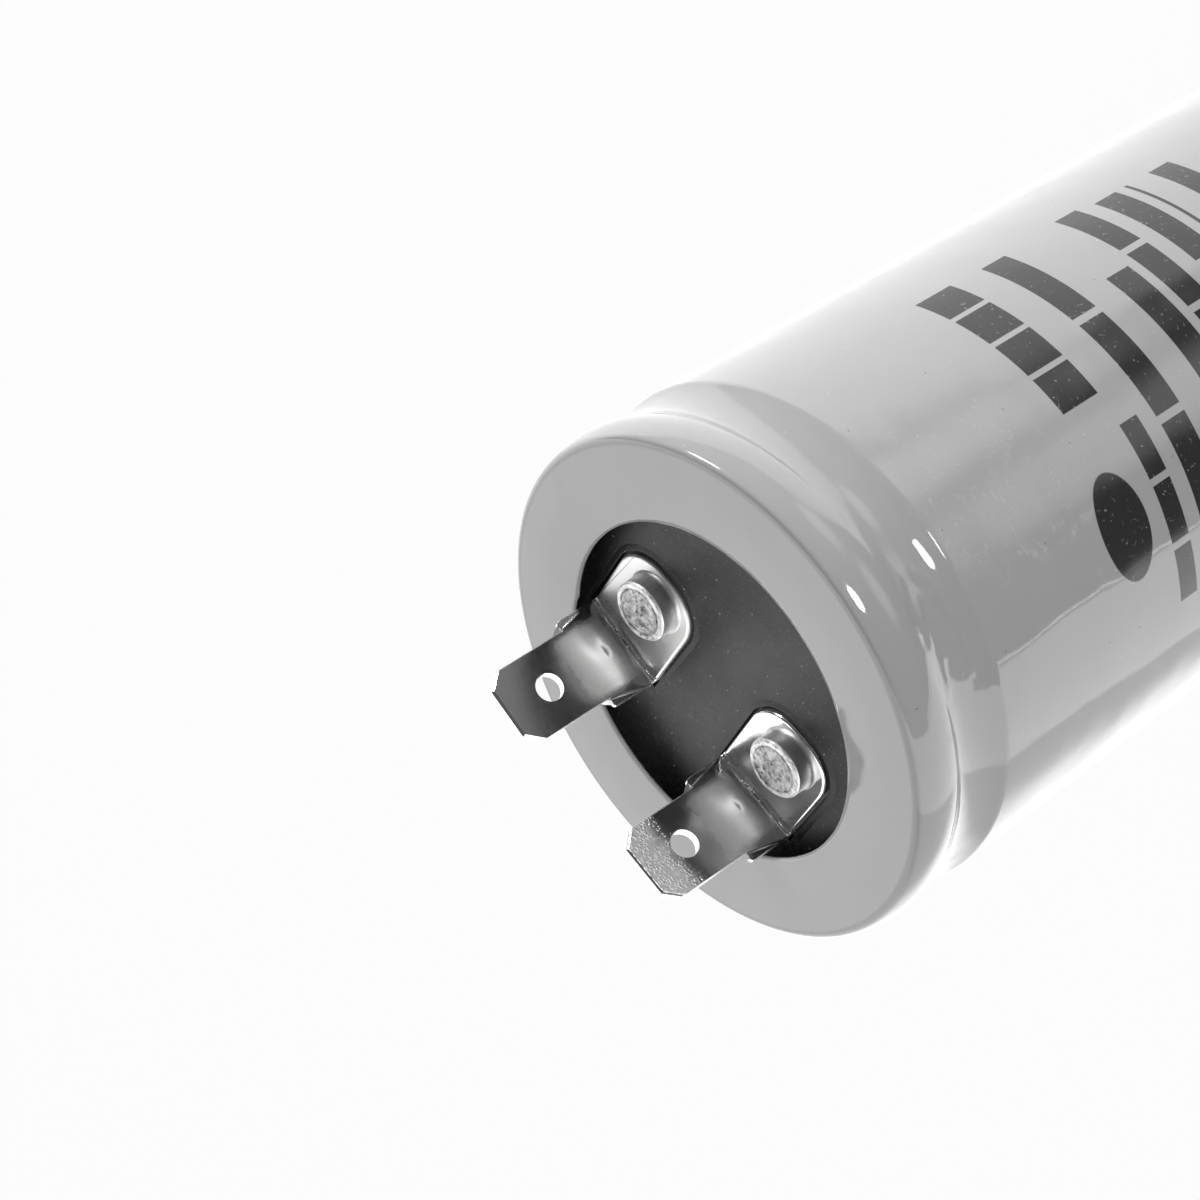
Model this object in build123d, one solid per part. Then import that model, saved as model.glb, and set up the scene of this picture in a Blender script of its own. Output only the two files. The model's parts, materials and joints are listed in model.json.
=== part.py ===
from build123d import *
from math import atan, cos, degrees, radians, sin, tan
import os

os.makedirs("parts", exist_ok=True)

# Motor start capacitor, standing on its base. Millimetres, +Z along the can towards the terminals,
# origin at the middle of the resting face. The rivets lie along X, and the tabs stand behind them.

# Can and sleeve
body_height = 80.0             # resting face to the flat ring of the sleeve round the mouth
can_diameter = 42.0
can_wall = 0.5
can_base_corner = 2.0          # outer corner radius at the base
can_rim_corner = 0.8           # outer corner radius where the mouth turns in
curl_width = 2.8               # can's outside in to the face of the turned rim
curl_corner = 0.8              # corner radius where the rim turns down to the deck
curl_drop = 2.2                # rim's top down to its edge on the rubber
sleeve_wall = 0.3
mouth_opening_diameter = 28.0  # hole in the sleeve over the deck
base_opening_diameter = 30.0   # hole in the sleeve under the base
sleeve_push = 0.15             # gap round a tab's neck where the sleeve's soft edge is pushed back

# Bead rolled into the can below the deck
bead_below_face = 6.2          # sleeve's upper face down to the middle of the bead
bead_width = 6.2
bead_depth = 1.3
bead_shoulder = 1.4            # radius where the wall turns into the bead

# Vent score across the can's base
score_length = 17.0
score_width = 0.7
score_depth = 0.2

# Deck
rubber_thickness = 2.0
rubber_side_clearance = 0.2    # rubber's edge to the can's straight wall
seal_clearance = 0.1           # rubber's lower edge to the bead it sits on
board_thickness = 2.0
board_clearance = 0.3          # board's edge to the inside of the bead

# Terminals, measured from the rivet's axis and the upper face of the base plate
rivet_pitch = 15.6
rivet_middle = 0.25            # X of the middle between the rivets
sheet = 0.8
plate_width = 8.0
plate_end = 2.85               # rivet's axis to the plate's cut end
plate_corner = 3.2             # corner radius at that end
plate_edge = 0.25              # rounded upper edge of the plate
plate_offset = 0.25            # rivet's axis to the plate's centreline
bend_distance = 6.6            # rivet's axis to the front face of the tab
bend_radius = 0.4              # inside the bend
neck_height = 4.0              # plate's upper face to the shoulders
shoulder_round = 0.4
blade_width = 6.35
blade_length = 8.0             # shoulders to the tip
blade_hole_diameter = 2.3
hole_from_tip = 4.25
tip_chamfer_across = 1.05
tip_chamfer_along = 1.2
tip_bevel = 0.25
facet_width = 0.9              # facet down each side of the neck's front, at the shoulders
facet_depth = 0.35
facet_start = 0.02             # share of its full size that the facet has at the bend
edge_break = 0.2               # broken edge down each side of the neck's back
swell_height = 0.22            # dome pressed out of the neck's front
swell_radius = 20.0            # of the dome's sphere
swell_middle = 2.2             # plate's upper face to the middle of the dome
plate_sink = 0.35              # plate pressed into the rubber
plate_print_gap = 0.25         # edge of the rubber's print to the plate
lip_foot = 0.5                 # foot of the rubber squeezed up round each print
lip_crest = 0.1                # width of its flat top
lip_height = 0.12
terminal_turns = (-3.0, -1.2)  # degrees that each plate is turned about its rivet, as assembled
terminal_skews = (-5.4, 0.0)   # degrees that each bend is out of square with its plate
terminal_leans = (2.6, -1.3)   # degrees that each tab leans away from the rivets

# Rivets
head_diameter = 5.0
head_height = 1.75
head_edge = 0.2
foot_diameter = 5.4            # flare of the head on the plate
foot_height = 0.45
shank_diameter = 3.6
shank_clearance = 0.1          # all round the shank
clinch_diameter = 5.6
clinch_height = 1.0
clinch_side = 1.3              # radius of the clinched end's side
clinch_dimple = 0.5

# Inner leads and winding
washer_diameter = 8.0
washer_thickness = 0.8
lead_width = 5.0
lead_thickness = 0.25
lead_end = 3.4                 # rivet's axis to the lead's cut end
lead_reach = 5.0               # rivet's axis to the start of the fold
fold_radius = 1.3
drop_radius = 0.8              # where the lead turns down to the roll
lead_slot_gap = 0.4            # all round the lead in the disc on the roll
insulator_thickness = 0.5
lead_room = 7.2                # board's underside to the end of the roll
winding_clearance = 0.8        # wrapped roll to the can's wall
wrap_thickness = 0.2
mandrel_diameter = 5.0

# Worked out from the sizes above
can_radius = can_diameter / 2
can_base_z = sleeve_wall
can_top_z = body_height - sleeve_wall
bead_z = body_height - bead_below_face
bead_turn = 2 * atan(2 * bead_depth / bead_width)
bead_bottom_radius = bead_width / 2 / sin(bead_turn) - bead_shoulder
curl_radius = can_radius - curl_width
rubber_top_z = can_top_z - curl_drop
board_top_z = rubber_top_z - rubber_thickness
board_bottom_z = board_top_z - board_thickness
board_radius = can_radius - bead_depth - can_wall - board_clearance
plate_top_z = rubber_top_z + sheet - plate_sink
hole_radius = shank_diameter / 2 + shank_clearance
floor_z = can_base_z + can_wall
winding_radius = can_radius - can_wall - winding_clearance - wrap_thickness
winding_base_z = floor_z + insulator_thickness
winding_top_z = board_bottom_z - lead_room


def body_outline(start_radius, end_radius):
    """The can's outside, as a line from the base out to the wall, up past the bead and in again."""
    turn = degrees(bead_turn)
    base = Line((start_radius, can_base_z), (can_radius - can_base_corner, can_base_z))
    corner = JernArc(base @ 1, (1, 0), can_base_corner, 90)
    lower = Line(corner @ 1, (can_radius, bead_z - bead_width / 2))
    shoulder = JernArc(lower @ 1, (0, 1), bead_shoulder, turn)
    bead = JernArc(shoulder @ 1, shoulder % 1, bead_bottom_radius, -2 * turn)
    upper_shoulder = JernArc(bead @ 1, bead % 1, bead_shoulder, turn)
    upper = Line(upper_shoulder @ 1, (can_radius, can_top_z - can_rim_corner))
    rim = JernArc(upper @ 1, (0, 1), can_rim_corner, 90)
    face = Line(rim @ 1, (end_radius, can_top_z))
    return [base, corner, lower, shoulder, bead, upper_shoulder, upper, rim, face]


def turned(face):
    """Solid of revolution about Z of a section drawn as radius and height."""
    return revolve(Plane.XZ * face, Axis.Z)


def walled(edges, thickness, side):
    """Section of a wall that lies along one side of a line."""
    return make_face(Wire(edges).offset_2d(thickness, Kind.ARC, side))


def disc(radius, low, high):
    """Round plate on the can's axis between two heights."""
    return extrude(Plane.XY.offset(low) * Circle(radius), high - low)


def can():
    """Drawn cup with its bead, its mouth turned in and down to the rubber, and a crossed vent score."""
    edges = body_outline(0, curl_radius + curl_corner)
    curl = JernArc(edges[-1] @ 1, (-1, 0), curl_corner, 90)
    drop = Line(curl @ 1, (curl_radius, rubber_top_z))
    cup = turned(walled(edges + [curl, drop], can_wall, Side.LEFT))
    score = extrude(Plane.XY.offset(can_base_z) * SlotOverall(score_length, score_width), score_depth)
    return cup - score.rotate(Axis.Z, 45) - score.rotate(Axis.Z, -45)


def sleeve():
    """Shrunk tube that follows the can, its soft edge pushed back where a tab's neck meets it."""
    edges = body_outline(base_opening_diameter / 2, mouth_opening_diameter / 2)
    tube = turned(walled(edges, sleeve_wall, Side.RIGHT))
    notch = RectangleRounded(plate_width + 2 * sleeve_push, sheet + 2 * sleeve_push, sleeve_push)
    neck = Pos(0, sheet / 2, 0) * extrude(notch, neck_height)
    for number in range(2):
        lean = Rot(-terminal_leans[number], 0, 0)
        tube -= at_terminal(number) * at_bend(number) * lean * neck
    return tube


def can_bore(clearance):
    """Space inside the can, held off its wall by a clearance."""
    gap = can_wall + clearance
    inner = Wire(body_outline(0, 0)).offset_2d(gap, Kind.ARC, Side.LEFT, closed=False)
    axis = Line((0, can_base_z + gap), (0, can_top_z - gap))
    return turned(make_face([*inner.edges(), axis]))


def plate_outline(number, reach, margin):
    """A terminal's plate from its rounded end to a line along its bend, grown by a margin."""
    half = plate_width / 2 + margin
    end = -plate_end - margin
    bend = Vector(0, bend_distance)
    right = bend + Vector(half, reach).rotate(Axis.Z, terminal_skews[number])
    left = bend + Vector(-half, reach).rotate(Axis.Z, terminal_skews[number])
    face = make_face(Polyline((half, end), right, left, (-half, end), close=True))
    return fillet(face.vertices().group_by(Axis.Y)[0], plate_corner + margin)


def tab_outline(start):
    """Neck, shoulders and blade laid flat, from the end of the bend to the tip, with the blade's hole."""
    neck = plate_width / 2
    half = blade_width / 2
    tip = neck_height + blade_length
    right = [(neck, start), (neck, neck_height), (half, neck_height),
             (half, tip - tip_chamfer_along), (half - tip_chamfer_across, tip)]
    left = [(-x, y) for x, y in reversed(right)]
    face = make_face(Polyline(*right, *left, close=True))
    face = fillet(face.vertices().group_by(Axis.Y)[1], shoulder_round)
    return face - Pos(0, tip - hole_from_tip) * Circle(blade_hole_diameter / 2)


def neck_facet(start, side):
    """Wedge to cut from one side of the neck's front, growing from the bend to the shoulders."""
    edge = side * plate_width / 2
    sections = []
    for height, share in ((start, facet_start), (neck_height + shoulder_round, 1)):
        inner = edge - side * facet_width * share
        corner = Polyline((inner, 0), (edge, 0), (edge, -facet_depth * share), close=True)
        across = Plane(origin=(0, height, 0), x_dir=(1, 0, 0), z_dir=(0, -1, 0))
        sections.append(across * make_face(corner))
    return loft(sections)


def swell(start):
    """Shallow dome above the neck's front, cut off at the end of the bend."""
    ball = Pos(0, swell_middle, swell_height - swell_radius) * Sphere(swell_radius)
    front = Pos(0, start + neck_height, 0) * Box(plate_width, 2 * neck_height, 2 * swell_height)
    return ball & front


def tab(start):
    """Tab laid flat with its front face up: bevelled tip, broken back edges, dome and neck facets."""
    dome = swell(start)
    flat = extrude(tab_outline(start), -sheet)
    chamfer_foot = neck_height + blade_length - tip_chamfer_along
    tip_edges = [edge for edge in flat.edges().filter_by(Axis.Z, reverse=True)
                 if edge.center().Y > chamfer_foot]
    flat = chamfer(tip_edges, tip_bevel)
    between = (plate_width + blade_width) / 4
    back_edges = [edge for edge in flat.edges().filter_by(Axis.Y)
                  if abs(edge.center().X) > between and edge.center().Z < -sheet / 2]
    flat = chamfer(back_edges, edge_break)
    flat = flat - neck_facet(start, 1) - neck_facet(start, -1)
    return flat + dome - Pos(0, 0, -sheet) * dome


def terminal(number):
    """Quick-connect terminal about its plate's centreline, with the plate's upper face at height 0."""
    angle = 90 - terminal_leans[number]
    tangent = bend_radius * tan(radians(angle) / 2)
    plate = extrude(plate_outline(number, -tangent, 0), -sheet)
    rim = plate.faces().sort_by(Axis.Z)[-1].edges().sort_by(Axis.Y)[:-1]
    plate = fillet(rim, plate_edge)
    section = Pos(0, -tangent, -sheet / 2) * (Plane.XZ * Rectangle(plate_width, sheet))
    bend = revolve(section, Axis((0, -tangent, bend_radius), (1, 0, 0)), angle)
    front = Plane(origin=(0, 0, 0), x_dir=(1, 0, 0), z_dir=(0, -sin(radians(angle)), cos(radians(angle))))
    hole = Pos(-plate_offset, 0, 0) * extrude(Circle(hole_radius), -sheet)
    return plate + at_bend(number) * (bend + front * tab(tangent)) - hole


def rivet():
    """Deck rivet: tall head with a flared foot on the plate, shank, and clinched end inside."""
    head = head_diameter / 2
    foot = foot_diameter / 2
    shank = shank_diameter / 2
    clinch = clinch_diameter / 2
    seat = board_bottom_z - lead_thickness - washer_thickness - plate_top_z
    low = seat - clinch_height
    flare = ThreePointArc((foot, 0), ((2 * head + foot) / 3, foot_height / 3), (head, foot_height))
    side = Polyline((head, foot_height), (head, head_height - head_edge), (head - head_edge, head_height),
                    (0, head_height), (0, low + clinch_dimple), (shank / 2, low), (shank, low))
    upset = RadiusArc((shank, low), (clinch, seat), clinch_side)
    shaft = Polyline((clinch, seat), (shank, seat), (shank, 0), (foot, 0))
    return turned(make_face([flare, *side.edges(), upset, *shaft.edges()]))


def washer():
    """Flat washer that presses the lead to the board, with its upper face at height 0."""
    return extrude(Circle(washer_diameter / 2) - Circle(hole_radius), -washer_thickness)


def lead_tab():
    """Strip from under the board, folded back once, then down to the roll, about the rivet's axis."""
    run = Line((-lead_end, 0), (lead_reach, 0))
    fold = JernArc(run @ 1, (1, 0), fold_radius, -180)
    back = Line(fold @ 1, (drop_radius, -2 * fold_radius))
    turn = JernArc(back @ 1, (-1, 0), drop_radius, 90)
    drop = Line(turn @ 1, (0, winding_top_z - board_bottom_z))
    section = Plane.YZ * walled([run, fold, back, turn, drop], lead_thickness, Side.RIGHT)
    return extrude(section, lead_width / 2, both=True) - extrude(Circle(hole_radius), -lead_thickness)


def at_rivet(number, height):
    """Place on a rivet's axis at a height."""
    side = 1 if number == 0 else -1
    return Pos(rivet_middle + side * rivet_pitch / 2, 0, height)


def at_terminal(number):
    """Place of a terminal's plate, turned a little about its rivet."""
    return at_rivet(number, plate_top_z) * Rot(0, 0, terminal_turns[number]) * Pos(plate_offset, 0, 0)


def at_bend(number):
    """Place of a terminal's bend on its plate, where the plate's top would meet the tab's front."""
    return Pos(0, bend_distance, 0) * Rot(0, 0, terminal_skews[number])


def rivet_hole(number, height, depth):
    """Hole for a rivet's shank, from a height upwards."""
    return at_rivet(number, height) * extrude(Circle(hole_radius), depth)


def print_outline(number, width):
    """Outline of the print that a plate leaves in the rubber, grown by a width."""
    margin = plate_print_gap + width
    return plate_outline(number, sheet + margin, margin)


def rubber_facing():
    """Rubber face squeezed between the rim and the bead, printed by the two plates, a lip round each."""
    pad = disc(can_radius - can_wall - rubber_side_clearance, board_top_z, rubber_top_z)
    pad = pad & can_bore(seal_clearance)
    for number in range(2):
        crest = Pos(0, 0, lip_height) * print_outline(number, lip_crest)
        lip = loft([print_outline(number, lip_foot), crest], ruled=True)
        pad += at_terminal(number) * Pos(0, 0, plate_sink - sheet) * lip
        pad -= at_terminal(number) * extrude(print_outline(number, 0), -sheet)
        pad -= rivet_hole(number, board_top_z, rubber_thickness)
    return pad


def deck_board():
    """Stiff laminate disc inside the bead, drilled for the rivets."""
    board = disc(board_radius, board_bottom_z, board_top_z)
    for number in range(2):
        board -= rivet_hole(number, board_bottom_z, board_thickness)
    return board


def winding():
    """Foil and paper roll with the hole of its mandrel."""
    roll = disc(winding_radius, winding_base_z, winding_top_z)
    return roll - disc(mandrel_diameter / 2, winding_base_z, winding_top_z)


def winding_wrap():
    """Closing wrap round the roll."""
    tube = disc(winding_radius + wrap_thickness, winding_base_z, winding_top_z)
    return tube - disc(winding_radius, winding_base_z, winding_top_z)


def top_insulator():
    """Disc on the roll with a slot for each lead."""
    plate = disc(winding_radius, winding_top_z, winding_top_z + insulator_thickness)
    slot = Rectangle(lead_width + 2 * lead_slot_gap, lead_thickness + 2 * lead_slot_gap)
    slot = Pos(0, -lead_thickness / 2, 0) * extrude(slot, insulator_thickness)
    for number in range(2):
        plate -= at_rivet(number, winding_top_z) * slot
    return plate


def base_insulator():
    """Disc that lies flat inside the can's base corner, under the roll."""
    return disc(can_radius - can_base_corner, floor_z, winding_base_z)


nodes = {
    "can": can(),
    "sleeve": sleeve(),
    "rubber_facing": rubber_facing(),
    "deck_board": deck_board(),
    "winding": winding(),
    "winding_wrap": winding_wrap(),
    "top_insulator": top_insulator(),
    "base_insulator": base_insulator(),
}
for number, letter in enumerate("ab"):
    nodes["terminal_" + letter] = at_terminal(number) * terminal(number)
    nodes["rivet_" + letter] = at_rivet(number, plate_top_z) * rivet()
    nodes["washer_" + letter] = at_rivet(number, board_bottom_z - lead_thickness) * washer()
    nodes["lead_tab_" + letter] = at_rivet(number, board_bottom_z) * lead_tab()

for node, solid in nodes.items():
    export_step(solid, f"parts/{node}.step")
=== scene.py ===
"""Looks, light and camera for the motor start capacitor, laid out as a Blender add-on."""

import json
import math

import bpy
from mathutils import Matrix, Vector


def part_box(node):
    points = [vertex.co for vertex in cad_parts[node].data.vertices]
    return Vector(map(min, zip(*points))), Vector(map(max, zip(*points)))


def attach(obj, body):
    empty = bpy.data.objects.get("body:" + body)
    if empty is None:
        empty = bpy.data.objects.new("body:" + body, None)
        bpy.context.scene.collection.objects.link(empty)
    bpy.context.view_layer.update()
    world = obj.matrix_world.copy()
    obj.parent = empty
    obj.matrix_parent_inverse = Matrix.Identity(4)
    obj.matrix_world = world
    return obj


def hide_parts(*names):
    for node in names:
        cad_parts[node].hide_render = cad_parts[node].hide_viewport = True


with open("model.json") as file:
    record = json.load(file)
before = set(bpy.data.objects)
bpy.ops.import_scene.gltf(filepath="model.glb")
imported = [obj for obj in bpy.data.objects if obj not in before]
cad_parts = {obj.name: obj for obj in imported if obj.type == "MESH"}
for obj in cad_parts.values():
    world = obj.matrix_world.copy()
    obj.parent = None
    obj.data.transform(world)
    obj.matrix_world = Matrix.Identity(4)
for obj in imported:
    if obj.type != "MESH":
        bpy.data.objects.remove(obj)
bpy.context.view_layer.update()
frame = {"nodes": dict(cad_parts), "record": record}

bl_info = {
    "name": "Motor start capacitor",
    "version": (1, 0, 0),
    "blender": (4, 5, 0),
    "location": "3D View > Sidebar > Capacitor",
    "description": "Sleeve, finishes, studio and camera for a motor start capacitor",
    "category": "Object",
}

MM = 0.001

# The film's outside and wall, from the solids. Inside FREE_RADIUS it hangs free of the can's curled rim
SLEEVE_LOW, SLEEVE_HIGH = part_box("sleeve")
CAN_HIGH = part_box("can")[1]
SLEEVE_RADIUS = min(-SLEEVE_LOW.x, -SLEEVE_LOW.y, SLEEVE_HIGH.x, SLEEVE_HIGH.y)
SLEEVE_HEIGHT = SLEEVE_HIGH.z
SLEEVE_WALL = SLEEVE_HIGH.z - CAN_HIGH.z
FREE_RADIUS = 0.0182

# Steps along the film's section: straight wall, flat ring and each of its arcs from the base up
WALL_STEPS = 24
FACE_STEPS = 20
BASE_STEPS, SHOULDER_STEPS, BEAD_STEPS, UPPER_STEPS, BULGE_STEPS, RIM_STEPS = 10, 10, 26, 12, 12, 14

# How close the film's puckers are, round it and up it, and how far from the bead's middle they fade
WRINKLES_AROUND = 7.0
WRINKLES_UP = 420.0
PUCKER_REACH = (0.0012, 0.0028)

# Film sizes in millimetres that the print and the marks on it follow
WALL_RADIUS = 21.3
FILM_TOP = SLEEVE_HEIGHT / MM

# Rows of bars: start and end in degrees round the film, low and high edge in millimetres,
# degrees from one block to the next and the share of them that is ink
BAR_ROWS = (
    (-97.0, -55.5, 50.5, 54.5, 10.4, 0.88),
    (-143.0, -56.0, 44.3, 47.1, 26.0, 0.93),
    (-143.0, -76.0, 38.5, 41.2, 33.0, 0.95),
    (-143.0, -54.5, 34.9, 37.5, 19.0, 0.91),
    (-143.0, -56.0, 30.5, 33.2, 29.0, 0.94),
    (-143.0, -56.0, 29.0, 29.4, 90.0, 1.0),
    (-143.0, -56.0, 23.6, 26.2, 22.0, 0.92),
    (-143.0, -103.5, 48.7, 50.7, 14.0, 0.89),
)

# How soft the bars are at their ends, in degrees, and at their long edges, in millimetres
BAR_END_SOFT = 0.12
BAR_EDGE_SOFT = 0.04

# Plain oval: middle and half size, round the film in degrees and up it in millimetres
OVAL_ANGLE, OVAL_HALF_ANGLE = -121.0, 11.5
OVAL_HEIGHT, OVAL_HALF_HEIGHT = 54.8, 2.5

# Terminal sizes in millimetres, which the patterns on the tin follow. A corner of the tip is cut off
# CUT_ACROSS from the side and CUT_LENGTH from the end
BLADE_HALF = 3.175
BLADE_LENGTH = 8.0
NECK_HALF = 4.0
NECK_HEIGHT = 4.0
BEND = BLADE_LENGTH + NECK_HEIGHT
SHEET = 0.8
CUT_ACROSS = 1.05
CUT_LENGTH = 1.2

# The neck's dome as the solid has it, in millimetres, and the two softer swellings that it is shaded as,
# each with its place across the neck and its height. A drop is a distance from the bend to a middle
DOME_HEIGHT = 0.22
DOME_RADIUS = 20.0
DOME_DROP = 2.2
SWELLINGS = ((1.3, 0.6), (-1.5, 0.3))
SWELLING_WIDTH = 1.7
SWELLING_LENGTH = 1.4
SWELLING_DROP = 1.6

# Rivet sizes in millimetres
CAP_RADIUS = 2.25
CAP_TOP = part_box("rivet_a")[1].z / MM

# Direction that points up in the picture's room, and the side of it that faces the lens
ROOM_UP = Vector((0.4136, -0.9105, 0.0))
ROOM_SIDE = Vector((-0.9105, -0.4136, 0.0))

# How far up in that room the table's shadow, the table and the line over it end
SHADOW_EDGE = (-0.60, -0.575)
TABLE_EDGE = (-0.068, -0.06)
LINE_EDGES = (-0.052, -0.04)

# Strengths of what glossy surfaces mirror: the dim room, the table with what it loses in its shadow and
# at its side, the line, the box, and two glows that light the necks, each with its direction
DIM_ROOM = 0.12
TABLE, TABLE_SHADOW, TABLE_SIDE = 2.4, 1.2, 1.1
LINE = 3.8
BOX = 1.45
GLOWS = (
    (Vector((0.234, -0.79, -0.556)).normalized(), 1.7),
    (Vector((-0.202, -0.657, -0.727)).normalized(), 1.5),
)
GLOW_EDGE, GLOW_FULL = 0.972, 0.998

# Share that the even light loses straight above
LESS_FROM_ABOVE = 0.62

# Point that the lamps look at, then each lamp's name, direction, distance, size and power, and the
# kind of ray that it is hidden from
LIT_POINT = Vector((0.0, 0.0, 0.075))
LAMPS = (
    ("fill_lamp", (0.90, -0.36, 0.0), 0.60, 0.25, 2.6, "visible_glossy"),
    ("key_lamp", (0.85, -0.42, 0.30), 0.60, 0.16, 1.8, "visible_diffuse"),
    ("lens_lamp", (-0.253, -0.967, 0.025), 0.55, 0.11, 0.8, "visible_diffuse"),
)

# Share of its own glow in the floor that the lens sees, and the degrees from one of its corners to the next
FLOOR_GLOW = 0.94
FLOOR_TURN = 6

# Camera: its place and its right, up and back directions
CAMERA_PLACE = (-0.03698, -0.15754, 0.18501)
CAMERA_AXES = (
    Vector((-0.62855, -0.28553, -0.72347)),
    Vector((0.73848, -0.51103, -0.43989)),
    Vector((-0.24410, -0.81076, 0.53206)),
)


class SleeveSizes(bpy.types.PropertyGroup):
    """Sizes of the shrunk film"""
    mouth_radius: bpy.props.FloatProperty(
        name="Mouth radius", description="Radius of the hole in the sleeve over the deck",
        default=0.014, min=0.008, max=0.02, subtype="DISTANCE", unit="LENGTH")
    base_radius: bpy.props.FloatProperty(
        name="Base hole radius", description="Radius of the hole in the sleeve under the base",
        default=0.015, min=0.008, max=0.02, subtype="DISTANCE", unit="LENGTH")
    base_corner: bpy.props.FloatProperty(
        name="Base corner", description="Outer corner radius at the base",
        default=0.0023, min=0.0005, max=0.005, subtype="DISTANCE", unit="LENGTH")
    rim_corner: bpy.props.FloatProperty(
        name="Rim corner", description="Outer corner radius round the mouth",
        default=0.0007, min=0.0003, max=0.003, subtype="DISTANCE", unit="LENGTH")
    bead_height: bpy.props.FloatProperty(
        name="Bead below the face", description="Flat ring down to the middle of the bead",
        default=0.0062, min=0.004, max=0.012, subtype="DISTANCE", unit="LENGTH")
    bead_width: bpy.props.FloatProperty(
        name="Bead width", description="Height that the bead takes up on the can's wall",
        default=0.0062, min=0.003, max=0.01, subtype="DISTANCE", unit="LENGTH")
    bead_depth: bpy.props.FloatProperty(
        name="Bead depth", description="Depth of the film where it spans the can's bead",
        default=0.00088, min=0.0003, max=0.003, subtype="DISTANCE", unit="LENGTH")
    ring_bulge: bpy.props.FloatProperty(
        name="Ring bulge", description="Radius of the slight bulge between the bead and the rim",
        default=0.0042, min=0.003, max=0.03, subtype="DISTANCE", unit="LENGTH")
    upper_shoulder: bpy.props.FloatProperty(
        name="Upper shoulder", description="Radius where the film turns into the bead above it",
        default=0.0050, min=0.0005, max=0.01, subtype="DISTANCE", unit="LENGTH")
    lower_shoulder: bpy.props.FloatProperty(
        name="Lower shoulder", description="Radius where the film turns into the bead below it",
        default=0.0009, min=0.0003, max=0.003, subtype="DISTANCE", unit="LENGTH")
    around: bpy.props.IntProperty(
        name="Steps around", description="Faces round the sleeve", default=256, min=64, max=512)
    pucker: bpy.props.FloatProperty(
        name="Pucker height", description="How far the film's small puckers stand out of the bead",
        default=0.00010, min=0.0, max=0.0005, subtype="DISTANCE", unit="LENGTH")
    neck_angle: bpy.props.FloatProperty(
        name="Neck angle", description="Where round the mouth a terminal's neck pushes the film back",
        default=math.radians(27.5), min=-math.pi, max=math.pi, subtype="ANGLE", unit="ROTATION")
    neck_push: bpy.props.FloatProperty(
        name="Neck push", description="How far that neck pushes the film's edge back",
        default=0.0003, min=0.0, max=0.002, subtype="DISTANCE", unit="LENGTH")
    droop: bpy.props.FloatProperty(
        name="Droop", description="How far the film's free edge hangs below its flat ring at the mouth",
        default=0.0002, min=0.0, max=0.0008, subtype="DISTANCE", unit="LENGTH")
    edge_wave: bpy.props.FloatProperty(
        name="Edge waviness", description="How far the film's cut edge at the mouth wanders",
        default=0.00006, min=0.0, max=0.0003, subtype="DISTANCE", unit="LENGTH")


class SleeveColours(bpy.types.PropertyGroup):
    """Colours and gloss of the film and its print"""
    film: bpy.props.FloatVectorProperty(
        name="Film", description="Colour of the shrunk film", subtype="COLOR",
        default=(0.42, 0.42, 0.42), min=0.0, max=1.0)
    ink: bpy.props.FloatVectorProperty(
        name="Ink", description="Colour of the printed bars", subtype="COLOR",
        default=(0.03, 0.03, 0.03), min=0.0, max=1.0)
    roughness: bpy.props.FloatProperty(
        name="Film roughness", description="Roughness of the clean film", default=0.04, min=0.02, max=0.6)


class DeckColours(bpy.types.PropertyGroup):
    """Colours of the deck"""
    rubber: bpy.props.FloatVectorProperty(
        name="Rubber", description="Colour of the deck's rubber", subtype="COLOR",
        default=(0.007, 0.007, 0.007), min=0.0, max=1.0)
    dust: bpy.props.FloatVectorProperty(
        name="Dust", description="Colour of the dust on the deck", subtype="COLOR",
        default=(0.45, 0.45, 0.44), min=0.0, max=1.0)
    laminate: bpy.props.FloatVectorProperty(
        name="Laminate", description="Colour of the board under the rubber", subtype="COLOR",
        default=(0.19, 0.10, 0.05), min=0.0, max=1.0)


class MetalColours(bpy.types.PropertyGroup):
    """Colours and gloss of the metal pieces"""
    tin: bpy.props.FloatVectorProperty(
        name="Tin", description="Colour of the tinned terminals", subtype="COLOR",
        default=(0.67, 0.67, 0.665), min=0.0, max=1.0)
    aluminium: bpy.props.FloatVectorProperty(
        name="Aluminium", description="Colour of the can, rivets, washers and leads", subtype="COLOR",
        default=(0.72, 0.72, 0.72), min=0.0, max=1.0)
    tin_roughness: bpy.props.FloatProperty(
        name="Tin roughness", description="Roughness of the smooth tin", default=0.17, min=0.05, max=0.8)


class InsideColours(bpy.types.PropertyGroup):
    """Colours of the paper inside"""
    paper: bpy.props.FloatVectorProperty(
        name="Paper", description="Colour of the pressed paper discs", subtype="COLOR",
        default=(0.50, 0.42, 0.29), min=0.0, max=1.0)
    wrap: bpy.props.FloatVectorProperty(
        name="Wrap", description="Colour of the roll's closing wrap", subtype="COLOR",
        default=(0.56, 0.46, 0.29), min=0.0, max=1.0)


class StudioSizes(bpy.types.PropertyGroup):
    """Sizes of the floor, strength of the light and the lens"""
    floor: bpy.props.FloatProperty(
        name="Floor radius", description="Radius of the pale floor",
        default=1.2, min=0.3, max=4.0, subtype="DISTANCE", unit="LENGTH")
    ambient: bpy.props.FloatProperty(
        name="Ambient", description="Strength of the even light from all round",
        default=1.06, min=0.0, max=2.0)
    lens: bpy.props.FloatProperty(
        name="Lens", description="Focal length of the camera in millimetres",
        default=78.0, min=20.0, max=200.0)


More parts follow.
